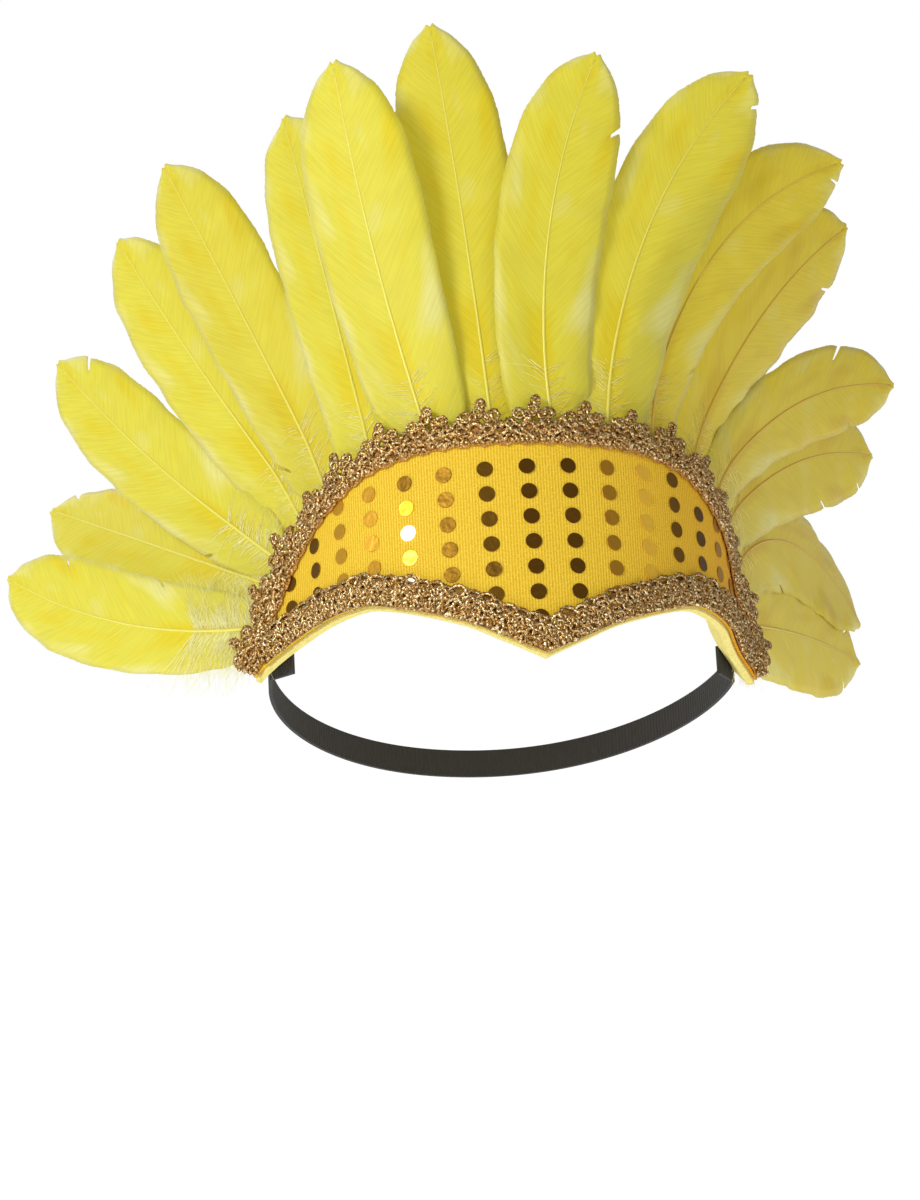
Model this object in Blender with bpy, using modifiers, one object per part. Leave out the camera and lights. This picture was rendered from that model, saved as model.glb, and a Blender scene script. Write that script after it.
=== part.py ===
"""Carnival feather headdress: a sequinned forehead band, a fan of dyed feathers and an elastic strap.

Metres, +Z up as worn, the front towards -Y. The origin is the middle of the head opening.
The band is laid out flat first: s runs along it from the middle of the front, z is the height and
out is the distance from its outer face. Every piece is then carried onto the band's curved plan.
The ring that the band and the strap make leans back on the head, so all pieces hang on one tilted
empty.
"""

import math

import bmesh
import bpy
from mathutils import Vector

# Plan of the band: an arc round the forehead, a short reverse arc and a straight end on each side
BAND_RADIUS = 0.078
LEFT_ARC = 0.088
RIGHT_ARC = 0.097
FLARE_RADIUS = 0.045
FLARE_LENGTH = 0.016
HALF_LENGTH = 0.118
BAND_LEAN = math.radians(20.5)

# Outline of the band, measured up and down from the ring's own level
CROWN_HEIGHT = 0.0405
POINT_DROP = 0.038
# columns: station as a share of HALF_LENGTH, top edge as a share of CROWN_HEIGHT,
# lower edge as a share of POINT_DROP
OUTLINE = (
    (0.00, 1.00, -1.00),
    (0.055, 1.00, -0.92),
    (0.13, 1.00, -0.81),
    (0.22, 1.00, -0.67),
    (0.33, 0.99, -0.54),
    (0.44, 0.95, -0.42),
    (0.525, 0.90, -0.345),
    (0.60, 0.815, -0.33),
    (0.685, 0.70, -0.33),
    (0.78, 0.55, -0.34),
    (0.855, 0.36, -0.39),
    (0.915, 0.11, -0.46),
    (0.96, -0.13, -0.525),
    (1.00, -0.40, -0.60),
)
BAND_COLUMNS = 60

# Layers of the band from the outer face inwards
FABRIC_WALL = 0.001
POCKET_DEPTH = 0.0052
BACKING_WALL = 0.002
LEDGE_HEIGHT = 0.005
LEDGE_DEPTH = 0.0026
LEDGE_RISE = 0.006
BACKING_REVEAL = 0.0012
BACKING_SETBACK = 0.002
FIT_GAP = 0.0003

# Sequins in straight columns
SEQUIN_DIAMETER = 0.0055
SEQUIN_RISE = 0.0004
SEQUIN_SINK = 0.0005
SEQUIN_SIDES = 8
COLUMN_PITCH = 0.0140
ROW_PITCH = 0.0089
FIELD_TURN = math.radians(2.0)
FIRST_ROW_HEIGHT = 0.0275
FIELD_SHIFT = -0.0032

# Braids
BRAID_THICKNESS = 0.002
BRAID_INSIDE = 0.0052
BRAID_OUTSIDE = 0.0040
BRAID_RUN_ON = 0.005
PICOT_PITCH = 0.0177
PICOT_HEIGHT = 0.0085
# columns: place as a share of PICOT_PITCH, height as a share of PICOT_HEIGHT
PICOT_SHAPE = (
    (0.00, 0.00),
    (0.10, 0.12),
    (0.18, 0.52),
    (0.27, 0.60),
    (0.36, 0.42),
    (0.43, 0.90),
    (0.50, 1.00),
    (0.57, 0.90),
    (0.64, 0.42),
    (0.73, 0.60),
    (0.82, 0.52),
    (0.90, 0.12),
)
LOWER_BRAID_HEIGHT = 0.0100
LOWER_BRAID_SETBACK = 0.0060
LOWER_BRAID_END = HALF_LENGTH - LOWER_BRAID_SETBACK
LOWER_BRAID_TOP_SHARE = 0.955
LOOP_PITCH = 0.0042
LOOP_HEIGHT = 0.0010
LOOP_COLUMNS = 3

# Feathers
FEATHER_LENGTH = 0.170
FEATHER_WIDTH = 0.040
VANE_THICKNESS = 0.0007
VANE_EDGE = 0.0005
VANE_CUP_RADIUS = 0.110
SHAFT_RADIUS = 0.0011
SHAFT_TAPER = 0.72
LAYER_PITCH = 0.0013
TURN_START = 0.026
TURN_END = 0.060
ROLL_START = 0.014
SPINE_STEPS = 40
# columns: place as a share of the feather's length, half width as a share of its own half width
VANE_SHAPE = (
    (0.00, 0.00),
    (0.12, 0.02),
    (0.16, 0.40),
    (0.22, 0.58),
    (0.32, 0.75),
    (0.44, 0.88),
    (0.56, 0.97),
    (0.67, 1.00),
    (0.77, 0.97),
    (0.86, 0.84),
    (0.925, 0.62),
    (0.97, 0.34),
    (0.99, 0.12),
    (1.00, 0.02),
)
# columns: name, station as a share of HALF_LENGTH, height of the quill's foot as a share of
# CROWN_HEIGHT, fan angle, bend along the shaft, forward splay, roll (degrees), length as a share of
# FEATHER_LENGTH, left and right half width as shares of FEATHER_WIDTH, depth layer counted from
# the backing
FEATHERS = (
    ("feather_01", -0.88, -0.15, -84, 32, 0, 5, 0.82, 0.43, 0.47, 2.0),
    ("feather_02", -0.83, 0.04, -61, 0, -4, -16, 0.94, 0.43, 0.43, 0.3),
    ("feather_03", -0.815, 0.20, -52, 15, 6, -8, 0.97, 0.43, 0.43, 2.0),
    ("feather_04", -0.735, 0.30, -34, 8, 12, -18, 1.02, 0.46, 0.46, 2.0),
    ("feather_05", -0.64, 0.345, -22, -3, 7, -16, 1.06, 0.46, 0.46, 0.0),
    ("feather_06", -0.46, 0.345, -12, -1, 0, 0, 0.99, 0.46, 0.50, 0.5),
    ("feather_07", -0.25, 0.345, -15, 10, 9, 8, 0.99, 0.50, 0.52, 2.0),
    ("feather_08", -0.105, 0.345, -3, -4, 0, 2, 1.08, 0.47, 0.47, 0.0),
    ("feather_09", 0.105, 0.345, -13, 38, 5, 3, 1.00, 0.45, 0.50, 2.0),
    ("feather_10", 0.24, 0.345, -4, 48, 6, 6, 1.09, 0.43, 0.55, 1.4),
    ("feather_11", 0.435, 0.345, -10, 77, 13, 1, 1.07, 0.45, 0.45, 0.7),
    ("feather_12", 0.54, 0.345, 16, 36, 10, -8, 1.02, 0.50, 0.50, 0.0),
    ("feather_13", 0.63, 0.27, 27, 52, 12, -10, 1.00, 0.40, 0.43, 1.5),
    ("feather_14", 0.745, 0.15, 36, 43, 14, 0, 1.00, 0.50, 0.50, 1.7),
    ("feather_15", 0.895, -0.03, 32, 88, 4, 5, 0.95, 0.50, 0.50, 0.0),
    ("feather_16", 0.845, -0.20, 69, 18, 12, -5, 0.90, 0.46, 0.50, 2.0),
)

# Strap
STRAP_WIDTH = 0.010
STRAP_THICKNESS = 0.0012
STRAP_SEAM = 0.010
STRAP_LEVEL = -0.0165
HEAD_BACK = 0.102
STRAP_STEPS = 26


def clear_scene():
    """Take away every object, mesh by mesh, so that the script can be run again."""
    for item in list(bpy.data.objects):
        bpy.data.objects.remove(item, do_unlink=True)


def smooth_table(table, column, place):
    """Value of one column at a place between the rows, on a smooth curve through them."""
    rows = [(row[0], row[column]) for row in table]
    place = min(max(place, rows[0][0]), rows[-1][0])
    index = 0
    while index < len(rows) - 2 and place > rows[index + 1][0]:
        index += 1
    (x0, y0), (x1, y1) = rows[index], rows[index + 1]
    before = rows[max(index - 1, 0)]
    after = rows[min(index + 2, len(rows) - 1)]
    slope0 = (y1 - before[1]) / (x1 - before[0])
    slope1 = (after[1] - y0) / (after[0] - x0)
    width = x1 - x0
    t = (place - x0) / width
    return (
        (2 * t**3 - 3 * t**2 + 1) * y0
        + (t**3 - 2 * t**2 + t) * width * slope0
        + (3 * t**2 - 2 * t**3) * y1
        + (t**3 - t**2) * width * slope1
    )


def band_plan(s):
    """Point of the outer face at arc distance s, with the band's direction and its outward side."""
    side = 1 if s >= 0 else -1
    arc = RIGHT_ARC if s >= 0 else LEFT_ARC
    run = abs(s)
    turn = min(run, arc) / BAND_RADIUS
    x = BAND_RADIUS * math.sin(turn)
    y = -BAND_RADIUS * math.cos(turn)
    if run > arc:
        eased = turn - min(run - arc, FLARE_LENGTH) / FLARE_RADIUS
        x += FLARE_RADIUS * (math.sin(turn) - math.sin(eased))
        y += FLARE_RADIUS * (math.cos(eased) - math.cos(turn))
        turn = eased
        straight = max(run - arc - FLARE_LENGTH, 0)
        x += straight * math.cos(turn)
        y += straight * math.sin(turn)
    along = Vector((math.cos(turn), side * math.sin(turn), 0))
    outward = Vector((side * math.sin(turn), -math.cos(turn), 0))
    return Vector((side * x, y, 0)), along, outward


def on_band(s, z, out=0.0):
    """Carry a point of the flat layout onto the band."""
    point, _, outward = band_plan(s)
    return point + outward * out + Vector((0, 0, z))


def top_edge(s):
    """Height of the fabric's cut upper edge."""
    return CROWN_HEIGHT * smooth_table(OUTLINE, 1, abs(s) / HALF_LENGTH)


def lower_edge(s):
    """Height of the fabric's cut lower edge."""
    return POINT_DROP * smooth_table(OUTLINE, 2, abs(s) / HALF_LENGTH)


def principled(name, colour, roughness, metallic=0.0):
    """A plain material of one colour."""
    material = bpy.data.materials.new(name)
    material.use_nodes = True
    shader = material.node_tree.nodes["Principled BSDF"]
    shader.inputs["Base Color"].default_value = (*colour, 1.0)
    shader.inputs["Roughness"].default_value = roughness
    shader.inputs["Metallic"].default_value = metallic
    return material


def new_piece(name, points, faces, material, collection, ring):
    """A mesh object that hangs on the tilted ring."""
    mesh = bpy.data.meshes.new(name)
    mesh.from_pydata([tuple(point) for point in points], [], faces)
    mesh.materials.append(material)
    piece = bpy.data.objects.new(name, mesh)
    collection.objects.link(piece)
    piece.parent = ring
    return piece


def strip(first, second):
    """Points and faces of an open strip between two rows of as many points."""
    count = len(first)
    faces = [(i, i + 1, count + i + 1, count + i) for i in range(count - 1)]
    return list(first) + list(second), faces


def loft(sections):
    """Points and faces of a closed body through sections of as many points each."""
    size = len(sections[0])
    points = [point for section in sections for point in section]
    faces = [tuple(reversed(range(size)))]
    for row in range(len(sections) - 1):
        base = row * size
        for i in range(size):
            j = (i + 1) % size
            faces.append((base + i, base + j, base + size + j, base + size + i))
    last = (len(sections) - 1) * size
    faces.append(tuple(range(last, last + size)))
    return points, faces


def face_outward(piece):
    """Turn the faces of a closed mesh outwards."""
    shell = bmesh.new()
    shell.from_mesh(piece.data)
    bmesh.ops.recalc_face_normals(shell, faces=shell.faces)
    shell.to_mesh(piece.data)
    shell.free()


def thicken(piece, thickness):
    """Give an open strip its thickness towards its outer side."""
    solidify = piece.modifiers.new("Thickness", "SOLIDIFY")
    solidify.thickness = thickness
    solidify.offset = 1.0


def band_stations():
    """Evenly spaced stations from one end of the band to the other."""
    step = 2 * HALF_LENGTH / BAND_COLUMNS
    return [-HALF_LENGTH + step * i for i in range(BAND_COLUMNS + 1)]


def make_backing(material, collection, ring):
    """Foam backing: a wall behind the quills and a ledge, thin at its lip, that closes the pocket."""
    front = -(FABRIC_WALL + FIT_GAP)
    wall_front = front - POCKET_DEPTH
    wall_back = wall_front - BACKING_WALL
    sections = []
    for s in band_stations():
        low = lower_edge(s) - BACKING_REVEAL
        high = top_edge(s) - BACKING_SETBACK
        shelf = low + LEDGE_HEIGHT
        corners = (
            (front, low),
            (front - LEDGE_DEPTH, low),
            (wall_back, low + LEDGE_RISE),
            (wall_back, high),
            (wall_front, high),
            (wall_front, shelf),
            (front, shelf),
        )
        sections.append([on_band(s, z, out) for out, z in corners])
    piece = new_piece("band_backing", *loft(sections), material, collection, ring)
    face_outward(piece)


def sequin_places():
    """Centres of the sequins that show between the two braids."""
    places = []
    turn_cos, turn_sin = math.cos(FIELD_TURN), math.sin(FIELD_TURN)
    columns = int(HALF_LENGTH / COLUMN_PITCH)
    rows = int((CROWN_HEIGHT + POINT_DROP) / ROW_PITCH)
    for column in range(-columns, columns + 1):
        for row in range(rows):
            across, down = column * COLUMN_PITCH, row * ROW_PITCH
            s = across * turn_cos + down * turn_sin + FIELD_SHIFT
            z = across * turn_sin - down * turn_cos + FIRST_ROW_HEIGHT
            if abs(s) > HALF_LENGTH - SEQUIN_DIAMETER:
                continue
            clear_top = top_edge(s) - BRAID_INSIDE - z
            clear_low = z - lower_edge(s) - LOWER_BRAID_HEIGHT
            if clear_top > SEQUIN_DIAMETER / 4 and clear_low > -SEQUIN_DIAMETER / 4:
                places.append((s, z))
    return places


def make_fabric(material, collection, cutters, ring):
    """Knit fabric with the field of flat sequins fused to its outer face."""
    stations = band_stations()
    low = [on_band(s, lower_edge(s), -FABRIC_WALL) for s in stations]
    high = [on_band(s, top_edge(s), -FABRIC_WALL) for s in stations]
    piece = new_piece("sequin_fabric", *strip(low, high), material, collection, ring)
    thicken(piece, FABRIC_WALL)

    field = bmesh.new()
    for s, z in sequin_places():
        _, _, outward = band_plan(s)
        centre = on_band(s, z, (SEQUIN_RISE - SEQUIN_SINK) / 2)
        place = outward.to_track_quat("Z", "Y").to_matrix().to_4x4()
        place.translation = centre
        bmesh.ops.create_cone(
            field,
            cap_ends=True,
            segments=SEQUIN_SIDES,
            radius1=SEQUIN_DIAMETER / 2,
            radius2=SEQUIN_DIAMETER / 2,
            depth=SEQUIN_RISE + SEQUIN_SINK,
            matrix=place,
        )
    mesh = bpy.data.meshes.new("sequin_field")
    field.to_mesh(mesh)
    field.free()
    sequins = bpy.data.objects.new("sequin_field", mesh)
    cutters.objects.link(sequins)
    sequins.parent = ring
    sequins.hide_render = True
    sequins.display_type = "WIRE"
    join = piece.modifiers.new("Sequins", "BOOLEAN")
    join.operation = "UNION"
    join.solver = "EXACT"
    join.object = sequins


def edge_path():
    """The fabric's upper edge as flat points, run on past both ends of the band."""
    fine = BAND_COLUMNS * 6
    step = 2 * HALF_LENGTH / fine
    points = []
    for i in range(fine + 1):
        s = -HALF_LENGTH + step * i
        points.append(Vector((s, top_edge(s))))
    head = (points[0] - points[6]).normalized() * BRAID_RUN_ON
    tail = (points[-1] - points[-7]).normalized() * BRAID_RUN_ON
    return [points[0] + head] + points + [points[-1] + tail]


def walk(points, distances):
    """Points and directions at given distances along a flat path."""
    found = []
    index, passed = 0, 0.0
    for distance in distances:
        length = (points[index + 1] - points[index]).length
        while index < len(points) - 2 and passed + length < distance:
            passed += length
            index += 1
            length = (points[index + 1] - points[index]).length
        direction = (points[index + 1] - points[index]).normalized()
        found.append((points[index] + direction * (distance - passed), direction))
    return found


def path_length(points):
    """Length of a flat path."""
    return sum((b - a).length for a, b in zip(points, points[1:]))


def make_top_braid(material, collection, ring):
    """Looped braid over the fabric's upper edge, with a row of three-lobed picots."""
    path = edge_path()
    total = path_length(path)
    count = round(total / PICOT_PITCH)
    pitch = total / count
    distances, heights = [], []
    for picot in range(count):
        for place, height in PICOT_SHAPE:
            distances.append((picot + place) * pitch)
            heights.append(height * PICOT_HEIGHT)
    distances.append(total)
    heights.append(0.0)
    out = SEQUIN_RISE + FIT_GAP
    inner, outer = [], []
    for (point, direction), height in zip(walk(path, distances), heights):
        upward = Vector((-direction.y, direction.x))
        foot = point - upward * BRAID_INSIDE
        tip = point + upward * (BRAID_OUTSIDE + height)
        inner.append(on_band(foot.x, foot.y, out))
        outer.append(on_band(tip.x, tip.y, out))
    piece = new_piece("top_braid", *strip(inner, outer), material, collection, ring)
    thicken(piece, BRAID_THICKNESS)


def make_bottom_braid(material, collection, ring):
    """Scroll braid along the lower edge, pointed in the middle, with small loops on top."""
    loops = 2 * round(LOWER_BRAID_END / LOOP_PITCH)
    columns = loops * LOOP_COLUMNS
    out = SEQUIN_RISE + FIT_GAP
    low, high = [], []
    for i in range(columns + 1):
        s = LOWER_BRAID_END * (2 * i / columns - 1)
        rise = LOOP_HEIGHT * abs(math.sin(math.pi * i / LOOP_COLUMNS))
        above = s * LOWER_BRAID_TOP_SHARE
        low.append(on_band(s, lower_edge(s), out))
        high.append(on_band(above, lower_edge(above) + LOWER_BRAID_HEIGHT + rise, out))
    piece = new_piece("bottom_braid", *strip(low, high), material, collection, ring)
    thicken(piece, BRAID_THICKNESS)


def ease(value, start, end):
    """Smooth step from 0 at start to 1 at end."""
    t = min(max((value - start) / (end - start), 0), 1)
    return t * t * (3 - 2 * t)


def feather_frames(station, foot, fan, bend, splay, roll, length, layer):
    """Points along a feather's shaft, each with its sideways and its outward direction."""
    deepest = -(FABRIC_WALL + FIT_GAP + POCKET_DEPTH - FIT_GAP - SHAFT_RADIUS)
    start, along, outward = band_plan(station)
    point = start + outward * (deepest + layer * LAYER_PITCH) + Vector((0, 0, foot))
    up = Vector((0, 0, 1))
    step = length / SPINE_STEPS
    frames = []
    for i in range(SPINE_STEPS + 1):
        run = i * step
        angle = fan + bend * i / SPINE_STEPS
        lift = splay * ease(run, TURN_START, TURN_END)
        twist = roll * ease(run, ROLL_START, TURN_END)
        rising = along * math.sin(angle) + up * math.cos(angle)
        sideways = along * math.cos(angle) - up * math.sin(angle)
        facing = outward * math.cos(lift) - rising * math.sin(lift)
        across = sideways * math.cos(twist) + facing * math.sin(twist)
        proud = facing * math.cos(twist) - sideways * math.sin(twist)
        frames.append((point.copy(), across, proud))
        point += (rising * math.cos(lift) + outward * math.sin(lift)) * step
    return frames


def between(frames, share):
    """Frame at a share of the feather's length, read between two steps of its shaft."""
    place = share * SPINE_STEPS
    index = min(int(place), SPINE_STEPS - 1)
    mix = place - index
    return [a.lerp(b, mix) for a, b in zip(frames[index], frames[index + 1])]


def make_feather(row, material, collection, ring):
    """One feather: a thin cupped vane with a raised shaft that runs down into a bare quill."""
    name, station, foot, fan, bend, splay, roll, length, left, right, layer = row
    frames = feather_frames(
        station * HALF_LENGTH,
        foot * CROWN_HEIGHT,
        math.radians(fan),
        math.radians(bend),
        math.radians(splay),
        math.radians(roll),
        length * FEATHER_LENGTH,
        layer,
    )
    half = VANE_THICKNESS / 2
    edge = VANE_EDGE / 2
    sections = []
    for share, width in VANE_SHAPE:
        centre, across, proud = between(frames, share)
        shaft = SHAFT_RADIUS * (1 - SHAFT_TAPER * share)
        reach_left = max(left * FEATHER_WIDTH * width, shaft + edge)
        reach_right = max(right * FEATHER_WIDTH * width, shaft + edge)
        back = -shaft if width < VANE_SHAPE[2][1] else -half
        profile = (
            (-reach_left, edge),
            (-shaft, half),
            (0.0, shaft),
            (shaft, half),
            (reach_right, edge),
            (reach_right, -edge),
            (0.0, back),
            (-reach_left, -edge),
        )
        section = []
        for across_by, proud_by in profile:
            cup = across_by**2 / (2 * VANE_CUP_RADIUS)
            section.append(centre + across * across_by + proud * (proud_by - cup))
        sections.append(section)
    piece = new_piece(name, *loft(sections), material, collection, ring)
    face_outward(piece)


def strap_plan():
    """Plan points of the strap's outer face from one sewn end round the back to the other."""
    out = -(FABRIC_WALL + FIT_GAP + POCKET_DEPTH + BACKING_WALL + FIT_GAP)
    halves = []
    for side in (-1, 1):
        seam = []
        for share in (1.0, 0.75, 0.5, 0.25, 0.0):
            point, _, outward = band_plan(side * (HALF_LENGTH - share * STRAP_SEAM))
            seam.append(point + outward * out)
        end = seam[-1]
        leave = Vector((end.x, end.y + HEAD_BACK * 0.45, 0))
        arrive = Vector((end.x * 0.62, HEAD_BACK, 0))
        back = Vector((0, HEAD_BACK, 0))
        curve = []
        for i in range(1, STRAP_STEPS // 2 + 1):
            t = 2 * i / STRAP_STEPS
            curve.append(
                end * (1 - t) ** 3
                + leave * 3 * t * (1 - t) ** 2
                + arrive * 3 * t**2 * (1 - t)
                + back * t**3
            )
        halves.append(seam + curve)
    return halves[0] + list(reversed(halves[1]))[1:]


def make_strap(material, collection, ring):
    """Flat elastic sewn behind both ends of the band and led round the back of the head."""
    plan = strap_plan()
    low = [point + Vector((0, 0, STRAP_LEVEL - STRAP_WIDTH / 2)) for point in plan]
    high = [point + Vector((0, 0, STRAP_LEVEL + STRAP_WIDTH / 2)) for point in plan]
    piece = new_piece("elastic_strap", *strip(low, high), material, collection, ring)
    thicken(piece, STRAP_THICKNESS)


def main():
    clear_scene()
    headdress = bpy.data.collections.new("feather_headdress")
    cutters = bpy.data.collections.new("cutters")
    bpy.context.scene.collection.children.link(headdress)
    bpy.context.scene.collection.children.link(cutters)
    ring = bpy.data.objects.new("head_ring", None)
    headdress.objects.link(ring)
    ring.rotation_euler.x = -BAND_LEAN

    make_backing(principled("pale_foam", (0.85, 0.78, 0.30), 0.9), headdress, ring)
    make_fabric(
        principled("sequin_knit", (0.90, 0.72, 0.08), 0.6), headdress, cutters, ring
    )
    gold = principled("antique_gold_cord", (0.45, 0.27, 0.11), 0.4, 0.8)
    make_top_braid(gold, headdress, ring)
    make_bottom_braid(gold, headdress, ring)
    dyed = principled("dyed_feather", (0.88, 0.82, 0.08), 0.55)
    for row in FEATHERS:
        make_feather(row, dyed, headdress, ring)
    make_strap(principled("dark_elastic", (0.03, 0.03, 0.035), 0.8), headdress, ring)


main()
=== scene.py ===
import math
import random

import bmesh
import bpy
from mathutils import Matrix, Vector


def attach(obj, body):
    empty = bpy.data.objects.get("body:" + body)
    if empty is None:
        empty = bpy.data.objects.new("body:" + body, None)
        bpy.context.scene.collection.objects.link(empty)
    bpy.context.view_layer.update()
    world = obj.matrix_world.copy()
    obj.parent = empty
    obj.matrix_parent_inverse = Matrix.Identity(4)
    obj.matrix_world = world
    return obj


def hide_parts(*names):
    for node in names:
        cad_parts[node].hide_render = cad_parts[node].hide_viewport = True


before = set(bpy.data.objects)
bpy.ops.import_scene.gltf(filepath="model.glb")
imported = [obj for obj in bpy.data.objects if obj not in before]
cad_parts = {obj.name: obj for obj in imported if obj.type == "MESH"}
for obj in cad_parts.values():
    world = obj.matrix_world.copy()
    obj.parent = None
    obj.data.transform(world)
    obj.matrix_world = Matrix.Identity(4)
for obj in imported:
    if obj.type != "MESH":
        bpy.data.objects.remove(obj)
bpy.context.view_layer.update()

bl_info = {
    "name": "Feather headdress looks",
    "version": (1, 0, 0),
    "blender": (4, 5, 0),
    "location": "View3D > Sidebar > Headdress",
    "description": "Dresses the headdress with barbed feathers, knit, sequins and gimp braid",
    "category": "Object",
}

# Layout of the band, as the frame has it: plan, outline and layers
BAND_RADIUS = 0.078
LEFT_ARC = 0.088
RIGHT_ARC = 0.097
FLARE_RADIUS = 0.045
FLARE_LENGTH = 0.016
HALF_LENGTH = 0.118
BAND_LEAN = math.radians(20.5)
CROWN_HEIGHT = 0.0405
POINT_DROP = 0.038
# columns: station as a share of HALF_LENGTH, upper edge as a share of CROWN_HEIGHT, lower edge as
# a share of POINT_DROP
OUTLINE = (
    (0.00, 1.00, -1.00),
    (0.055, 1.00, -0.92),
    (0.13, 1.00, -0.81),
    (0.22, 1.00, -0.67),
    (0.33, 0.99, -0.54),
    (0.44, 0.95, -0.42),
    (0.525, 0.90, -0.345),
    (0.60, 0.815, -0.33),
    (0.685, 0.70, -0.33),
    (0.78, 0.55, -0.34),
    (0.855, 0.36, -0.39),
    (0.915, 0.11, -0.46),
    (0.96, -0.13, -0.525),
    (1.00, -0.40, -0.60),
)
FABRIC_WALL = 0.001
POCKET_DEPTH = 0.0052
BACKING_WALL = 0.002
FIT_GAP = 0.0003

# Sequins
SEQUIN_DIAMETER = 0.0055
SEQUIN_THICKNESS = 0.00022
SEQUIN_SIDES = 20
SEQUIN_BEVEL = 0.00007
# height of the CAD sequin's face over the fabric, and how far under it the middle of ours lies
SEQUIN_RISE = 0.0004
SEQUIN_SINK = 0.00012
SEQUIN_WOBBLE = 0.03
COLUMN_PITCH = 0.0140
ROW_PITCH = 0.0089
FIELD_TURN = math.radians(2.0)
FIRST_ROW_HEIGHT = 0.0275
FIELD_SHIFT = -0.0032

# Braids
BRAID_INSIDE = 0.0052
BRAID_RUN_ON = 0.005
PICOT_PITCH = 0.0177
LOWER_BRAID_HEIGHT = 0.0100
LOWER_BRAID_SETBACK = 0.0060
LOWER_BRAID_END = HALF_LENGTH - LOWER_BRAID_SETBACK
LOOP_PITCH = 0.0042
EDGE_STEPS = 360
CORD_STEP = 0.00035
CORD_SIDES = 7
CORD_RELIEF = 0.24
CORD_TWIST = 4200.0
LOBE_STEPS = 45
STEPS_PER_LOOP = 24
TAPE_THICKNESS = 0.0004

# Feathers
FEATHER_LENGTH = 0.170
FEATHER_WIDTH = 0.040
VANE_CUP_RADIUS = 0.110
SHAFT_RADIUS = 0.0011
SHAFT_TAPER = 0.80
SHAFT_TAPER_POWER = 0.35
SHAFT_STEPS = 60
LAYER_PITCH = 0.0013
TURN_START = 0.026
TURN_END = 0.060
ROLL_START = 0.014
SPINE_STEPS = 40
BARB_ANGLE = math.radians(36)
# the first and the last barb's root, as shares of the length
BARBS_START = 0.05
BARBS_END = 0.985
# where down grows, as shares of the length, and its strands
DOWN_START = 0.06
DOWN_END = 0.30
DOWN_RADIUS = 0.00013
DOWN_STEPS = 6
# columns: place as a share of the length, half width as a share of the feather's own
VANE_SHAPE = (
    (0.00, 0.00),
    (0.09, 0.06),
    (0.13, 0.46),
    (0.18, 0.68),
    (0.25, 0.80),
    (0.34, 0.87),
    (0.45, 0.93),
    (0.56, 0.98),
    (0.67, 1.00),
    (0.77, 0.97),
    (0.86, 0.85),
    (0.925, 0.62),
    (0.965, 0.36),
    (0.985, 0.13),
    (1.00, 0.02),
)
# columns: name, station as a share of HALF_LENGTH, foot as a share of CROWN_HEIGHT, fan angle,
# bend, splay and roll in degrees, length as a share of FEATHER_LENGTH, left and right half width
# as shares of FEATHER_WIDTH, layer
FEATHERS = (
    ("feather_01", -0.88, -0.15, -84, 32, 0, 5, 0.82, 0.43, 0.47, 2.0),
    ("feather_02", -0.83, 0.04, -61, 0, -4, -16, 0.94, 0.43, 0.43, 0.3),
    ("feather_03", -0.815, 0.20, -52, 15, 6, -8, 0.97, 0.43, 0.43, 2.0),
    ("feather_04", -0.735, 0.30, -34, 8, 12, -18, 1.02, 0.46, 0.46, 2.0),
    ("feather_05", -0.64, 0.345, -22, -3, 7, -16, 1.06, 0.46, 0.46, 0.0),
    ("feather_06", -0.46, 0.345, -12, -1, 0, 0, 0.99, 0.46, 0.50, 0.5),
    ("feather_07", -0.25, 0.345, -15, 10, 9, 8, 0.99, 0.50, 0.52, 2.0),
    ("feather_08", -0.105, 0.345, -3, -4, 0, 2, 1.08, 0.47, 0.47, 0.0),
    ("feather_09", 0.105, 0.345, -13, 38, 5, 3, 1.00, 0.45, 0.50, 2.0),
    ("feather_10", 0.24, 0.345, -4, 48, 6, 6, 1.09, 0.43, 0.55, 1.4),
    ("feather_11", 0.435, 0.345, -10, 77, 13, 1, 1.07, 0.45, 0.45, 0.7),
    ("feather_12", 0.54, 0.345, 16, 36, 10, -8, 1.02, 0.50, 0.50, 0.0),
    ("feather_13", 0.63, 0.27, 27, 52, 12, -10, 1.00, 0.40, 0.43, 1.5),
    ("feather_14", 0.745, 0.15, 36, 43, 14, 0, 1.00, 0.50, 0.50, 1.7),
    ("feather_15", 0.895, -0.03, 32, 88, 4, 5, 0.95, 0.50, 0.50, 0.0),
    ("feather_16", 0.845, -0.20, 69, 18, 12, -5, 0.90, 0.46, 0.50, 2.0),
)
# columns: name, tone from 0 (lemon) to 1 (mustard), down strands, the longest one as a share of
# FEATHER_WIDTH, splits on the left and right side; the high tone of the right-hand feathers is
# partly their dye and partly painted shade, as they turn away from the key light
FEATHER_LOOKS = (
    ("feather_01", 0.0, 460, 0.56, 0, 2),
    ("feather_02", 0.10, 160, 0.40, 0, 1),
    ("feather_03", 0.05, 150, 0.40, 1, 1),
    ("feather_04", 0.10, 80, 0.40, 0, 0),
    ("feather_05", 0.25, 80, 0.40, 1, 0),
    ("feather_06", 0.05, 60, 0.40, 0, 0),
    ("feather_07", 0.05, 60, 0.40, 1, 0),
    ("feather_08", 0.20, 60, 0.40, 0, 1),
    ("feather_09", 0.15, 70, 0.40, 0, 1),
    ("feather_10", 0.25, 90, 0.40, 0, 1),
    ("feather_11", 0.60, 120, 0.40, 1, 2),
    ("feather_12", 0.70, 120, 0.40, 1, 1),
    ("feather_13", 0.70, 120, 0.40, 1, 1),
    ("feather_14", 0.65, 120, 0.40, 1, 2),
    ("feather_15", 0.70, 120, 0.40, 1, 1),
    ("feather_16", 0.60, 420, 0.56, 1, 3),
)

# Strap
STRAP_STEPS = 40
STRAP_ROWS = 8
STRAP_WIDTH = 0.010
STRAP_THICKNESS = 0.0012
STRAP_SEAM = 0.010
STRAP_LEVEL = -0.0165
HEAD_BACK = 0.102

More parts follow.
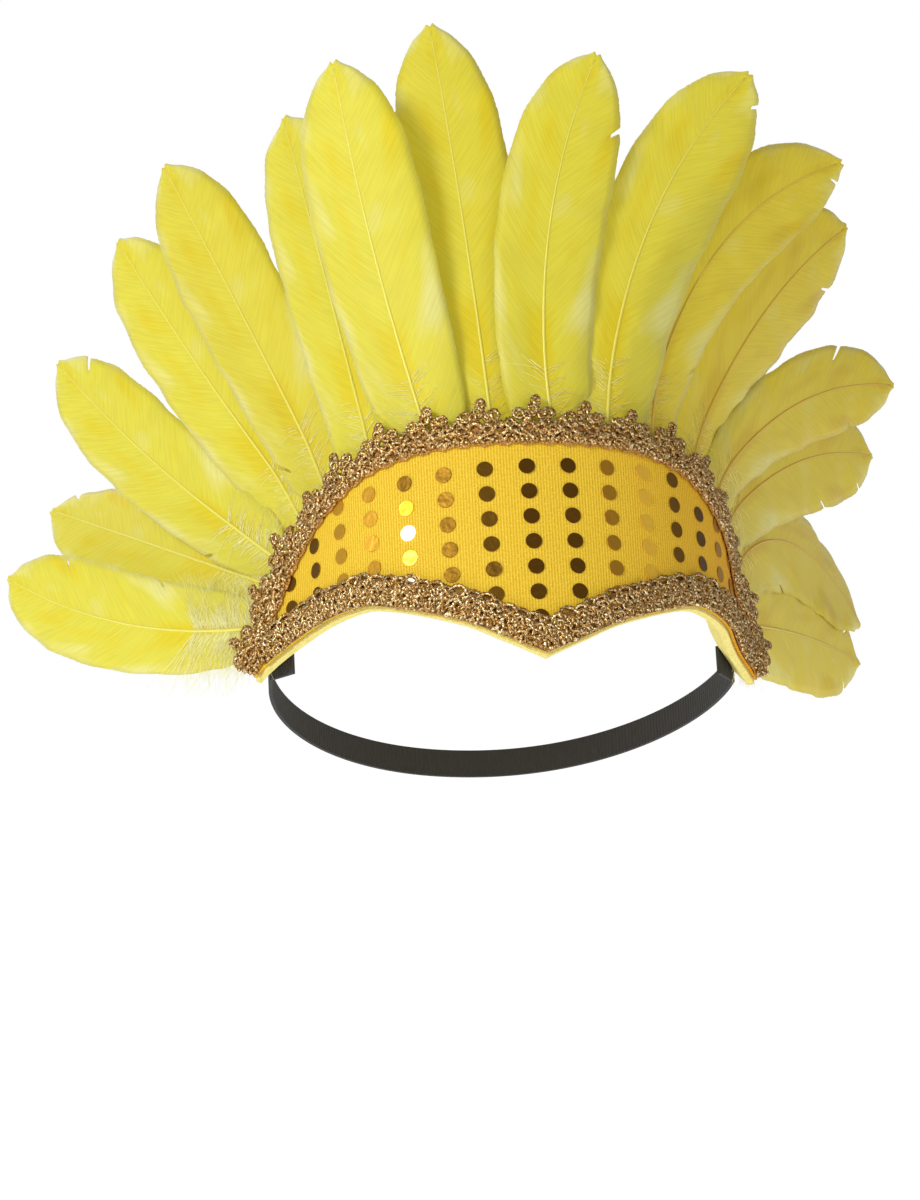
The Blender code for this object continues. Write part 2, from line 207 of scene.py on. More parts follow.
# Stage: the photo's viewing angle, a pale floor and soft lights
CAMERA_PLACE = (-0.2491, -1.6538, 0.0086)
CAMERA_TURN = math.radians(-8)
CAMERA_LENS = 145.4
CAMERA_SENSOR = 36.0
# share of the white backdrop's brightness that lights the object from all round
AMBIENT = 0.36
# glow of the floor, and the extra glow with which the camera sees it
FLOOR_LEVEL = -0.34
FLOOR_SIZE = 30
FLOOR_GLOW = 0.50
FLOOR_SEEN = 0.25
LIGHTS_AIM = (0, -0.02, 0.06)
# columns: name, place, size, power, colour
LIGHTS = (
    ("key", (-1.25, -1.05, 0.75), 0.6, 15.5, (1.0, 0.99, 0.95)),
    ("fill", (0.4, -1.6, 0.2), 1.0, 3.5, (1.0, 0.97, 0.92)),
    ("rim", (-0.4, 1.0, 0.9), 0.8, 5, (1, 1, 1)),
)

LEAN = Matrix.Rotation(-BAND_LEAN, 4, "X")


class HeaddressSettings(bpy.types.PropertyGroup):
    barb_rows: bpy.props.IntProperty(
        name="Barb rows", description="Rows of barbs along one feather", default=150, min=20
    )
    barb_columns: bpy.props.IntProperty(
        name="Barb columns", description="Faces from one edge to the other", default=14, min=4
    )
    vane_thickness: bpy.props.FloatProperty(
        name="Vane thickness", description="Thickness of a vane", default=0.0003,
        unit="LENGTH", subtype="DISTANCE", precision=5,
    )
    lemon: bpy.props.FloatVectorProperty(
        name="Lemon", description="Dye of the bright feathers", subtype="COLOR",
        default=(0.72, 0.65, 0.055), min=0, max=1,
    )
    # the mustard colour is partly dye and partly painted shade on the feathers turned away from
    # the key light
    mustard_and_shade: bpy.props.FloatVectorProperty(
        name="Mustard", description="Dye of the darker feathers", subtype="COLOR",
        default=(0.64, 0.46, 0.012), min=0, max=1,
    )
    knit: bpy.props.FloatVectorProperty(
        name="Knit", description="Colour of the knit", subtype="COLOR",
        default=(0.84, 0.54, 0.020), min=0, max=1,
    )
    gold: bpy.props.FloatVectorProperty(
        name="Gimp", description="Colour of the braid's metallic thread", subtype="COLOR",
        default=(0.46, 0.245, 0.060), min=0, max=1,
    )
    cord_radius: bpy.props.FloatProperty(
        name="Cord radius", description="Radius of the braid's cords", default=0.0008,
        unit="LENGTH", subtype="DISTANCE", precision=5,
    )


def smooth_table(table, column, place):
    """Value of one column at a place between the rows, on a smooth curve through them."""
    rows = [(row[0], row[column]) for row in table]
    place = min(max(place, rows[0][0]), rows[-1][0])
    index = 0
    while index < len(rows) - 2 and place > rows[index + 1][0]:
        index += 1
    (x0, y0), (x1, y1) = rows[index], rows[index + 1]
    before = rows[max(index - 1, 0)]
    after = rows[min(index + 2, len(rows) - 1)]
    slope0 = (y1 - before[1]) / (x1 - before[0])
    slope1 = (after[1] - y0) / (after[0] - x0)
    width = x1 - x0
    t = (place - x0) / width
    return (
        (2 * t**3 - 3 * t**2 + 1) * y0
        + (t**3 - 2 * t**2 + t) * width * slope0
        + (3 * t**2 - 2 * t**3) * y1
        + (t**3 - t**2) * width * slope1
    )


def band_plan(s):
    """Point of the outer face at arc distance s, the band's direction and its outward side."""
    side = 1 if s >= 0 else -1
    arc = RIGHT_ARC if s >= 0 else LEFT_ARC
    run = abs(s)
    turn = min(run, arc) / BAND_RADIUS
    x = BAND_RADIUS * math.sin(turn)
    y = -BAND_RADIUS * math.cos(turn)
    if run > arc:
        eased = turn - min(run - arc, FLARE_LENGTH) / FLARE_RADIUS
        x += FLARE_RADIUS * (math.sin(turn) - math.sin(eased))
        y += FLARE_RADIUS * (math.cos(eased) - math.cos(turn))
        turn = eased
        straight = max(run - arc - FLARE_LENGTH, 0)
        x += straight * math.cos(turn)
        y += straight * math.sin(turn)
    along = Vector((math.cos(turn), side * math.sin(turn), 0))
    outward = Vector((side * math.sin(turn), -math.cos(turn), 0))
    return Vector((side * x, y, 0)), along, outward


def on_band(s, z, out=0.0):
    """Carry a point of the flat layout onto the leaning band."""
    point, _, outward = band_plan(s)
    return LEAN @ (point + outward * out + Vector((0, 0, z)))


def top_edge(s):
    """Height of the fabric's upper edge."""
    return CROWN_HEIGHT * smooth_table(OUTLINE, 1, abs(s) / HALF_LENGTH)


def lower_edge(s):
    """Height of the fabric's lower edge."""
    return POINT_DROP * smooth_table(OUTLINE, 2, abs(s) / HALF_LENGTH)


def settings():
    """The sizes and colours that the panel shows."""
    return bpy.context.scene.headdress


def pick(obj):
    """Make one object the only selected one."""
    bpy.ops.object.select_all(action="DESELECT")
    obj.select_set(True)
    bpy.context.view_layer.objects.active = obj


def grid(name, columns, rows):
    """A flat grid primitive with its UVs, whose points are then carried to their place."""
    bpy.ops.object.select_all(action="DESELECT")
    bpy.ops.mesh.primitive_grid_add(x_subdivisions=columns, y_subdivisions=rows, size=2)
    obj = bpy.context.active_object
    obj.name = name
    obj.data.name = name
    return obj


def apply_solidify(obj, thickness, offset):
    """Close a sheet by giving it a wall."""
    pick(obj)
    wall = obj.modifiers.new("Wall", "SOLIDIFY")
    wall.thickness = thickness
    wall.offset = offset
    wall.use_even_offset = False
    bpy.ops.object.modifier_apply(modifier=wall.name)


def join(name, parts):
    """Join parts into one object."""
    bpy.ops.object.select_all(action="DESELECT")
    for part in parts:
        part.select_set(True)
    bpy.context.view_layer.objects.active = parts[0]
    bpy.ops.object.join()
    parts[0].name = name
    parts[0].data.name = name
    return parts[0]


def mesh_object(name, points, faces, material):
    """An object from points and faces, with its normals turned outwards."""
    mesh = bpy.data.meshes.new(name)
    mesh.from_pydata([tuple(point) for point in points], [], faces)
    shell = bmesh.new()
    shell.from_mesh(mesh)
    bmesh.ops.recalc_face_normals(shell, faces=shell.faces)
    shell.to_mesh(mesh)
    shell.free()
    mesh.materials.append(material)
    mesh.polygons.foreach_set("use_smooth", [True] * len(mesh.polygons))
    obj = bpy.data.objects.new(name, mesh)
    bpy.context.scene.collection.objects.link(obj)
    return obj


def sweep(points, faces, path, radii, sides, relief=0.0, twist=0.0):
    """Add a closed tube along a path, with an optional helical relief like a twisted cord."""
    start = len(points)
    normal = None
    run = 0.0
    for i, point in enumerate(path):
        ahead = path[min(i + 1, len(path) - 1)] - path[max(i - 1, 0)]
        tangent = ahead.normalized()
        if normal is None:
            normal = tangent.orthogonal().normalized()
        normal = (normal - tangent * normal.dot(tangent)).normalized()
        binormal = tangent.cross(normal)
        if i:
            run += (point - path[i - 1]).length
        for k in range(sides):
            angle = 2 * math.pi * k / sides
            radius = radii[i] * (1 + relief * math.sin(3 * angle + twist * run))
            offset = normal * math.cos(angle) + binormal * math.sin(angle)
            points.append(point + offset * radius)
    rings = len(path)
    faces.append(tuple(start + k for k in reversed(range(sides))))
    for i in range(rings - 1):
        base = start + i * sides
        for k in range(sides):
            following = (k + 1) % sides
            faces.append((base + k, base + following, base + sides + following, base + sides + k))
    base = start + (rings - 1) * sides
    faces.append(tuple(base + k for k in range(sides)))


def shader_of(name, colour, roughness, metallic=0.0):
    """A Principled material, with its node tree and its shader."""
    material = bpy.data.materials.new(name)
    material.use_nodes = True
    tree = material.node_tree
    shader = tree.nodes["Principled BSDF"]
    shader.inputs["Base Color"].default_value = (*colour, 1)
    shader.inputs["Roughness"].default_value = roughness
    shader.inputs["Metallic"].default_value = metallic
    return material, tree, shader


def noise_node(tree, source, output, scale, detail=2.0, stretch=(1, 1, 1)):
    """A noise texture fed by stretched coordinates."""
    mapping = tree.nodes.new("ShaderNodeMapping")
    mapping.inputs["Scale"].default_value = stretch
    tree.links.new(source.outputs[output], mapping.inputs["Vector"])
    noise = tree.nodes.new("ShaderNodeTexNoise")
    noise.inputs["Scale"].default_value = scale
    noise.inputs["Detail"].default_value = detail
    tree.links.new(mapping.outputs["Vector"], noise.inputs["Vector"])
    return noise


def ramp_node(tree, factor, stops):
    """A colour ramp with (position, colour) stops."""
    ramp = tree.nodes.new("ShaderNodeValToRGB")
    elements = ramp.color_ramp.elements
    while len(elements) < len(stops):
        elements.new(0.5)
    for element, (position, colour) in zip(elements, stops):
        element.position = position
        element.color = (*colour, 1)
    tree.links.new(factor, ramp.inputs["Fac"])
    return ramp


def math_node(tree, operation, first, second=None):
    """A math node on one or two values; returns its output."""
    node = tree.nodes.new("ShaderNodeMath")
    node.operation = operation
    tree.links.new(first, node.inputs[0])
    if isinstance(second, (int, float)):
        node.inputs[1].default_value = second
    elif second is not None:
        tree.links.new(second, node.inputs[1])
    return node.outputs["Value"]


def multiply_colours(tree, first, second):
    """Multiply two colours; returns the output."""
    mix = tree.nodes.new("ShaderNodeMix")
    mix.data_type = "RGBA"
    mix.blend_type = "MULTIPLY"
    mix.inputs["Factor"].default_value = 1.0
    tree.links.new(first, mix.inputs["A"])
    tree.links.new(second, mix.inputs["B"])
    return mix.outputs["Result"]


def bump_node(tree, height, shader, strength, distance):
    """Add bump from a height to the shader."""
    bump = tree.nodes.new("ShaderNodeBump")
    bump.inputs["Strength"].default_value = strength
    bump.inputs["Distance"].default_value = distance
    tree.links.new(height, bump.inputs["Height"])
    tree.links.new(bump.outputs["Normal"], shader.inputs["Normal"])


def blend_colour(a, b, share):
    """Mix two colours: share 0 is the first, 1 the second."""
    return tuple(x * (1 - share) + y * share for x, y in zip(a, b))


def vane_material(name, tone):
    """Dyed vane: streaks run along the barbs, with deeper and paler patches at random, the pale
    ones partly painted sheen, and paler towards the edges as a painted highlight where the edges
    curl.
    """
    # tone moves the dye towards mustard, which on the right-hand feathers is partly painted shade
    dye = blend_colour(settings().lemon, settings().mustard_and_shade, tone)
    # pale: a greyer, paler yellow, partly painted sheen
    pale = blend_colour((0.78, 0.74, 0.24), (0.66, 0.54, 0.09), tone)
    deep = blend_colour((0.74, 0.60, 0.012), (0.52, 0.34, 0.006), tone)
    material, tree, shader = shader_of(name, dye, 0.55)
    uv = tree.nodes.new("ShaderNodeUVMap")
    patches = noise_node(tree, uv, "UV", 1.6, 1.0, (1.6, 3.2, 1))
    parts = tree.nodes.new("ShaderNodeSeparateXYZ")
    tree.links.new(uv.outputs["UV"], parts.inputs["Vector"])
    # painted highlight: the vane pales towards its edges, where the curled barbs catch the light
    off_shaft = math_node(tree, "SUBTRACT", parts.outputs["X"], 0.5)
    edge = math_node(tree, "MULTIPLY", math_node(tree, "ABSOLUTE", off_shaft), 0.42)
    lifted = math_node(tree, "ADD", patches.outputs["Fac"], edge)
    base = ramp_node(tree, lifted, [(0.40, deep), (0.55, dye), (0.66, dye), (0.84, pale)])
    streaks = noise_node(tree, uv, "UV", 1.0, 3.0, (4, 150, 1))
    tint = ramp_node(
        tree, streaks.outputs["Fac"], [(0.30, (0.90, 0.88, 0.80)), (0.62, (1, 1, 1))]
    )
    tree.links.new(
        multiply_colours(tree, base.outputs["Color"], tint.outputs["Color"]),
        shader.inputs["Base Color"],
    )
    shader.inputs["Subsurface Weight"].default_value = 0.35
    shader.inputs["Subsurface Radius"].default_value = (1.0, 0.85, 0.2)
    shader.inputs["Subsurface Scale"].default_value = 0.002
    shader.inputs["Sheen Weight"].default_value = 0.25
    shader.inputs["Specular IOR Level"].default_value = 0.3
    bump_node(tree, streaks.outputs["Fac"], shader, 0.3, 0.0004)
    return material


def gimp_material(name, dark, light):
    """Metallic thread wound on a cord: fine speckle over the gold, from dark copper, partly
    painted shade, to cream, a painted sparkle highlight.
    """
    gold = tuple(settings().gold)
    material, tree, shader = shader_of(name, gold, 0.36, 0.85)
    coords = tree.nodes.new("ShaderNodeTexCoord")
    painted_sparkle = noise_node(tree, coords, "Object", 1500.0, 2.0)
    # painted light: cream speckles are painted sparkle highlights on the bump's peaks, and dark
    # copper ones are partly painted shade in its pits
    stops = [(0.36, dark), (0.47, gold), (0.54, gold), (0.63, light)]
    colours = ramp_node(tree, painted_sparkle.outputs["Fac"], stops)
    tree.links.new(colours.outputs["Color"], shader.inputs["Base Color"])
    bump_node(tree, painted_sparkle.outputs["Fac"], shader, 0.6, 0.0003)
    return material


class HEADDRESS_OT_backing(bpy.types.Operator):
    """Give the foam backing its material"""

    bl_idname = "headdress.backing"
    bl_label = "Foam backing"

    def execute(self, context):
        material, tree, shader = shader_of("pale_foam_looks", (0.86, 0.74, 0.22), 0.85)
        coords = tree.nodes.new("ShaderNodeTexCoord")
        cells = noise_node(tree, coords, "Object", 900.0, 3.0)
        tint = ramp_node(
            tree, cells.outputs["Fac"], [(0.3, (0.80, 0.66, 0.16)), (0.7, (0.92, 0.82, 0.30))]
        )
        tree.links.new(tint.outputs["Color"], shader.inputs["Base Color"])
        bump_node(tree, cells.outputs["Fac"], shader, 0.4, 0.0004)
        node = bpy.data.objects["band_backing"]
        for slot in node.material_slots:
            slot.material = material
        return {"FINISHED"}


def band_strip(name, columns, rows, place):
    """A grid carried onto the band by a function of its two shares."""
    obj = grid(name, columns, rows)
    for vertex in obj.data.vertices:
        across, upward = (vertex.co.x + 1) / 2, (vertex.co.y + 1) / 2
        vertex.co = place(across, upward)
    return obj


def knit_material():
    """Fine vertical knit ribs with painted shade in their hollows, and painted shade that darkens
    and warms the right end.
    """
    material, tree, shader = shader_of("sequin_knit_looks", settings().knit, 0.7)
    uv = tree.nodes.new("ShaderNodeUVMap")
    wales = tree.nodes.new("ShaderNodeTexWave")
    wales.wave_type = "BANDS"
    wales.bands_direction = "X"
    wales.inputs["Scale"].default_value = 74.0
    wales.inputs["Distortion"].default_value = 1.6
    wales.inputs["Detail"].default_value = 2.0
    wales.inputs["Detail Scale"].default_value = 6.0
    tree.links.new(uv.outputs["UV"], wales.inputs["Vector"])
    loops = noise_node(tree, uv, "UV", 1.0, 2.0, (260, 110, 1))
    wale = math_node(tree, "MULTIPLY", wales.outputs["Fac"], 0.35)
    loop = math_node(tree, "MULTIPLY", loops.outputs["Fac"], 0.65)
    height = math_node(tree, "ADD", wale, loop)
    knit = tuple(settings().knit)
    # painted shade: the knit is browner where the rib and loop height is low, between the wales,
    # and brighter on the ridges
    between = blend_colour(knit, (0.55, 0.25, 0.0), 0.5)
    colours = ramp_node(tree, height, [(0.25, between), (0.50, knit), (0.80, (0.95, 0.70, 0.10))])
    # painted shade: the knit darkens and warms towards the right end, standing for the key light
    # falling off there
    parts = tree.nodes.new("ShaderNodeSeparateXYZ")
    tree.links.new(uv.outputs["UV"], parts.inputs["Vector"])
    stops = [(0.58, (1, 1, 1)), (0.80, (1, 0.88, 0.7)), (0.97, (0.95, 0.66, 0.4))]
    painted_end_shade = ramp_node(tree, parts.outputs["X"], stops)
    tree.links.new(
        multiply_colours(tree, colours.outputs["Color"], painted_end_shade.outputs["Color"]),
        shader.inputs["Base Color"],
    )
    shader.inputs["Specular IOR Level"].default_value = 0.25
    bump_node(tree, height, shader, 0.5, 0.0004)
    return material


class HEADDRESS_OT_fabric(bpy.types.Operator):
    """Make the knit fabric over the band"""

    bl_idname = "headdress.fabric"
    bl_label = "Knit fabric"

    def execute(self, context):
        def place(across, upward):
            s = HALF_LENGTH * (2 * across - 1)
            low, high = lower_edge(s), top_edge(s)
            return on_band(s, low + (high - low) * upward, 0.0)

        fabric = band_strip("sequin_fabric_knit", 160, 24, place)
        fabric.data.materials.append(knit_material())
        apply_solidify(fabric, FABRIC_WALL, -1.0)
        bpy.ops.object.shade_smooth_by_angle(angle=math.radians(40))
        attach(fabric, "root")
        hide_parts("sequin_fabric")
        steps = 400
        pitch = 2 * HALF_LENGTH / steps
        stations = [-HALF_LENGTH + (i + 0.5) * pitch for i in range(steps)]
        area = sum((top_edge(s) - lower_edge(s)) * pitch for s in stations)
        return {"FINISHED"}


def sequin_places():
    """Centres of the sequins that show between the braids, with their column and row."""
    places = []
    turn_cos, turn_sin = math.cos(FIELD_TURN), math.sin(FIELD_TURN)
    columns = int(HALF_LENGTH / COLUMN_PITCH)
    rows = int((CROWN_HEIGHT + POINT_DROP) / ROW_PITCH)
    for column in range(-columns, columns + 1):
        for row in range(rows):
            across, down = column * COLUMN_PITCH, row * ROW_PITCH
            s = across * turn_cos + down * turn_sin + FIELD_SHIFT
            z = across * turn_sin - down * turn_cos + FIRST_ROW_HEIGHT
            if abs(s) > HALF_LENGTH - SEQUIN_DIAMETER:
                continue
            clear_top = top_edge(s) - BRAID_INSIDE - z
            clear_low = z - lower_edge(s) - LOWER_BRAID_HEIGHT
            if clear_top > SEQUIN_DIAMETER / 4 and clear_low > -SEQUIN_DIAMETER / 4:
                places.append((s, z, column, row))
    return places


# columns: name, colour, roughness, metallic, glow; the sequins are one foil, and these colours are
# painted reflections of the room, given column by column, with the glow as a painted glint
SEQUIN_FOIL_REFLECTIONS = (
    ("tan", (0.74, 0.40, 0.035), 0.45, 0.8, 0.0),
    ("bronze", (0.23, 0.11, 0.010), 0.35, 0.9, 0.0),
    ("dark", (0.16, 0.070, 0.006), 0.32, 0.9, 0.0),
    ("brown", (0.52, 0.26, 0.022), 0.40, 0.9, 0.0),
    ("painted_lit_yellow", (0.95, 0.74, 0.02), 0.25, 0.2, 0.15),
    ("painted_glint", (1.0, 0.98, 0.85), 0.20, 0.2, 0.9),
    ("faint", (0.92, 0.55, 0.045), 0.50, 0.6, 0.0),
    ("umber", (0.27, 0.135, 0.012), 0.42, 0.9, 0.0),
)
# index of the painted reflection that each column of the field shows; the column in the key light
# differs by row
PAINTED_REFLECTION_OF_COLUMN = {-2: 7, -1: 1, 0: 2, 1: 2, 2: 3, 3: 6, 4: 1, 5: 2}
LIT_COLUMN = -3
# painted highlights: down the lit column the rows show umber, lit yellow and the glowing white
# glint where the key light catches them
LIT_ROWS = (7, 4, 5, 4, 5)


def painted_reflection_for(column, row):
    """Index of the painted reflection colour that a sequin shows."""
    if column == LIT_COLUMN:
        return LIT_ROWS[row % len(LIT_ROWS)]
    if column < LIT_COLUMN:
        return 1 if column < -5 else 0
    return PAINTED_REFLECTION_OF_COLUMN.get(column, 3)


class HEADDRESS_OT_sequins(bpy.types.Operator):
    """Make one flat sequin and sew copies of it on the fabric"""

    bl_idname = "headdress.sequins"
    bl_label = "Sequins"

    def execute(self, context):
        bpy.ops.object.select_all(action="DESELECT")
        bpy.ops.mesh.primitive_cylinder_add(
            vertices=SEQUIN_SIDES,
            radius=SEQUIN_DIAMETER / 2,
            depth=SEQUIN_THICKNESS,
            location=(0, 0, 0),
        )
        model = context.active_object
        model.name = "sequin_model"
        bpy.ops.object.mode_set(mode="EDIT")
        bpy.ops.mesh.select_all(action="SELECT")
        bpy.ops.mesh.bevel(offset=SEQUIN_BEVEL, segments=1, affect="EDGES")
        bpy.ops.object.mode_set(mode="OBJECT")
        bpy.ops.object.shade_smooth_by_angle(angle=math.radians(35))
        materials = []
        for name, colour, roughness, metallic, painted_glow in SEQUIN_FOIL_REFLECTIONS:
            material, tree, shader = shader_of("sequin_" + name, colour, roughness, metallic)
            # painted highlight: the lit yellow and white glint foils glow a little, standing for
            # the key light's glints
            shader.inputs["Emission Color"].default_value = (*colour, 1)
            shader.inputs["Emission Strength"].default_value = painted_glow
            coords = tree.nodes.new("ShaderNodeTexCoord")
            dents = noise_node(tree, coords, "Object", 420.0, 1.0)
            bump_node(tree, dents.outputs["Fac"], shader, 0.5, 0.0004)
            materials.append(material)
        rng = random.Random(5)
        copies = []
        for s, z, column, row in sequin_places():
            _, _, outward = band_plan(s)
            normal = (LEAN.to_3x3() @ outward).normalized()
            tilt = Vector([rng.gauss(0, SEQUIN_WOBBLE) for _ in range(3)])
            turned = (normal + tilt).normalized().to_track_quat("Z", "Y").to_matrix().to_4x4()
            turned.translation = on_band(s, z, SEQUIN_RISE - SEQUIN_SINK)
            copy = bpy.data.objects.new("sequin", model.data.copy())
            context.scene.collection.objects.link(copy)
            copy.data.transform(turned)
            copy.data.materials.append(materials[painted_reflection_for(column, row)])
            copies.append(copy)
        bpy.data.objects.remove(model, do_unlink=True)
        sequins = join("sequins", copies)
        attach(sequins, "root")
        return {"FINISHED"}


def edge_points(edge, half):
    """Flat points along one edge of the fabric, as far as half to each side."""
    step = 2 * half / EDGE_STEPS
    stations = [-half + step * i for i in range(EDGE_STEPS + 1)]
    return [Vector((s, edge(s))) for s in stations]


def top_path():
    """The fabric's upper edge, run on past both ends of the band."""
    points = edge_points(top_edge, HALF_LENGTH)
    head = (points[0] - points[6]).normalized() * BRAID_RUN_ON
    tail = (points[-1] - points[-7]).normalized() * BRAID_RUN_ON
    return [points[0] + head] + points + [points[-1] + tail]


class FlatPath:
    """A flat path that gives its point and upward side at any distance."""

    def __init__(self, points):
        self.points = points
        self.runs = [0.0]
        for a, b in zip(points, points[1:]):
            self.runs.append(self.runs[-1] + (b - a).length)
        self.total = self.runs[-1]

    def at(self, distance, lift):
        """Flat point at a distance along the path, lifted to its upward side."""
        distance = min(max(distance, 0.0), self.total)
        low, high = 0, len(self.runs) - 1
        while high - low > 1:
            middle = (low + high) // 2
            if self.runs[middle] <= distance:
                low = middle
            else:
                high = middle
        a, b = self.points[low], self.points[high]
        direction = (b - a).normalized()
        point = a + direction * (distance - self.runs[low])
        ahead = self.points[min(high + 5, len(self.points) - 1)] - self.points[max(low - 5, 0)]
        ahead.normalize()
        return point + Vector((-ahead.y, ahead.x)) * lift


def braid_cord(points, faces, path, route, radius, out):
    """Sweep one twisted cord over the band; route gives distance, lift, height over the tape."""
    line = []
    for distance, lift, rise in route:
        flat = path.at(distance, lift)
        line.append(on_band(flat.x, flat.y, out + rise))
    sweep(points, faces, line, [radius] * len(line), CORD_SIDES, CORD_RELIEF, CORD_TWIST)


class HEADDRESS_OT_top_braid(bpy.types.Operator):
    """Make the looped braid along the upper edge, with three-lobed picots"""

    bl_idname = "headdress.top_braid"
    bl_label = "Top braid"

    def execute(self, context):
        path = FlatPath(top_path())
        count = round(path.total / PICOT_PITCH)
        pitch = path.total / count
        out = SEQUIN_RISE + FIT_GAP
        radius = settings().cord_radius
        rng = random.Random(11)
        points, faces = [], []
        steps = int(path.total / CORD_STEP)
        # columns: amplitude, waves for each picot, phase, lift of the middle, height over the tape
        for amplitude, waves, phase, middle, rise in (
            (0.0017, 2, 0.0, 0.0000, 0.0009),
            (0.0017, 2, math.pi, 0.0006, 0.0011),
            (0.0013, 3, 0.8, 0.0022, 0.0010),
            (0.0011, 1, 2.2, -0.0014, 0.0008),
            (0.0010, 4, 0.4, -0.0026, 0.0006),
            (0.0007, 7, 1.1, -0.0036, 0.0004),
        ):
            route = []
            for i in range(steps + 1):
                distance = path.total * i / steps
                angle = 2 * math.pi * waves * distance / pitch + phase
                lift = middle + amplitude * math.sin(angle) + 0.0002 * math.sin(9.3 * angle)
                route.append((distance, lift, rise + 0.0004 * math.cos(angle * 1.5)))
            braid_cord(points, faces, path, route, radius, out)
        # columns: place in the picot, height of the lobe's middle, half width, half height
        lobes = (
            (0.20, 0.0050, 0.0021, 0.0019),
            (0.47, 0.0068, 0.0018, 0.0022),
            (0.52, 0.0094, 0.0014, 0.0018),
            (0.76, 0.0052, 0.0021, 0.0019),
            (0.36, 0.0046, 0.0016, 0.0016),
            (0.64, 0.0046, 0.0016, 0.0016),
        )
        for picot in range(count):
            lean = rng.uniform(-0.0006, 0.0006)
            grow = rng.uniform(0.88, 1.05)
            for place, height, wide, tall in lobes:
                middle = (picot + place) * pitch + lean * height / 0.006
                route = []
                turns = rng.uniform(1.5, 1.9)
                start = rng.uniform(0, 2 * math.pi)
                for i in range(LOBE_STEPS + 1):
                    t = i / LOBE_STEPS
                    angle = start + 2 * math.pi * turns * t
                    shrink = 1 - 0.55 * t
                    route.append(
                        (
                            middle + wide * shrink * math.cos(angle),
                            (height + tall * shrink * math.sin(angle)) * grow,
                            0.0007 + 0.0007 * t,
                        )
                    )
                braid_cord(points, faces, path, route, radius * 0.85, out)
        # the last colour, cream, is the painted sparkle highlight
        gimp = gimp_material("antique_gold_top", (0.17, 0.060, 0.010), (1.0, 0.86, 0.52))
        cords = mesh_object("top_braid_cords", points, faces, gimp)

        def place(across, upward):
            distance = path.total * across
            ripple = 0.0004 * math.sin(distance * 900) + 0.0003 * math.sin(distance * 2300)
            lift = -BRAID_INSIDE + ripple * (1 - upward) + upward * 0.0070
            flat = path.at(distance, lift)
            return on_band(flat.x, flat.y, out)

        tape = band_strip("top_braid_tape", 260, 6, place)
        material, tree, shader = shader_of("gimp_tape", (0.50, 0.22, 0.05), 0.7, 0.1)
        uv = tree.nodes.new("ShaderNodeUVMap")
        threads = noise_node(tree, uv, "UV", 1.0, 3.0, (520, 6, 1))
        dark, middle, light = (0.26, 0.09, 0.02), (0.52, 0.24, 0.05), (0.80, 0.52, 0.16)
        stops = [(0.32, dark), (0.50, middle), (0.68, light)]
        tint = ramp_node(tree, threads.outputs["Fac"], stops)
        tree.links.new(tint.outputs["Color"], shader.inputs["Base Color"])
        bump_node(tree, threads.outputs["Fac"], shader, 0.8, 0.0004)
        tape.data.materials.append(material)
        apply_solidify(tape, TAPE_THICKNESS, 1.0)
        bpy.ops.object.shade_smooth_by_angle(angle=math.radians(40))
        for piece in (cords, tape):
            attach(piece, "root")
        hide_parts("top_braid")
        return {"FINISHED"}


class HEADDRESS_OT_bottom_braid(bpy.types.Operator):
    """Make the scroll braid along the lower edge"""

    bl_idname = "headdress.bottom_braid"
    bl_label = "Bottom braid"

    def execute(self, context):
        path = FlatPath(edge_points(lower_edge, LOWER_BRAID_END))
        out = SEQUIN_RISE + FIT_GAP
        radius = settings().cord_radius
        points, faces = [], []
        loops = round(path.total / LOOP_PITCH)
        pitch = path.total / loops
        rng = random.Random(23)
        # columns: middle height, half width, half height, phase, turns, height over the tape
        for middle, wide, tall, phase, turns, rise in (
            (0.0078, 0.0018, 0.0021, 0.0, 1, 0.0009),
            (0.0058, 0.0014, 0.0016, 2.1, 2, 0.0013),
            (0.0038, 0.0014, 0.0015, 0.9, 2, 0.0012),
            (0.0013, 0.0012, 0.0014, 3.6, 2, 0.0009),
        ):
            route = []
            sway = [rng.uniform(0, 2 * math.pi) for _ in range(3)]
            for i in range(loops * STEPS_PER_LOOP + 1):
                t = i / STEPS_PER_LOOP
                angle = 2 * math.pi * t * turns + phase + 0.9 * math.sin(1.7 * t + sway[0])
                swell = 1 + 0.22 * math.sin(2.9 * t + sway[1])
                drift = 0.0003 * math.sin(1.3 * t + sway[2])
                route.append(
                    (
                        t * pitch + wide * swell * math.sin(angle),
                        middle + tall * swell * math.cos(angle) + drift,
                        rise + 0.0005 * math.sin(1.5 * angle + 0.7),
                    )
                )
            braid_cord(points, faces, path, route, radius * 0.92, out)
        # the last colour, cream, is the painted sparkle highlight
        gimp = gimp_material("antique_gold_low", (0.17, 0.075, 0.014), (1.0, 0.90, 0.58))
        cords = mesh_object("bottom_braid_cords", points, faces, gimp)

        def place(across, upward):
            flat = path.at(path.total * across, -0.0005 + 0.0094 * upward)
            return on_band(flat.x, flat.y, out)

        tape = band_strip("bottom_braid_tape", 220, 6, place)
        material, _, _ = shader_of("gimp_base", (0.28, 0.13, 0.04), 0.6, 0.4)
        tape.data.materials.append(material)
        apply_solidify(tape, TAPE_THICKNESS, 1.0)
        for piece in (cords, tape):
            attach(piece, "root")
        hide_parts("bottom_braid")
        return {"FINISHED"}


def ease(value, start, end):
    """Smooth step from 0 at start to 1 at end."""
    t = min(max((value - start) / (end - start), 0), 1)
    return t * t * (3 - 2 * t)


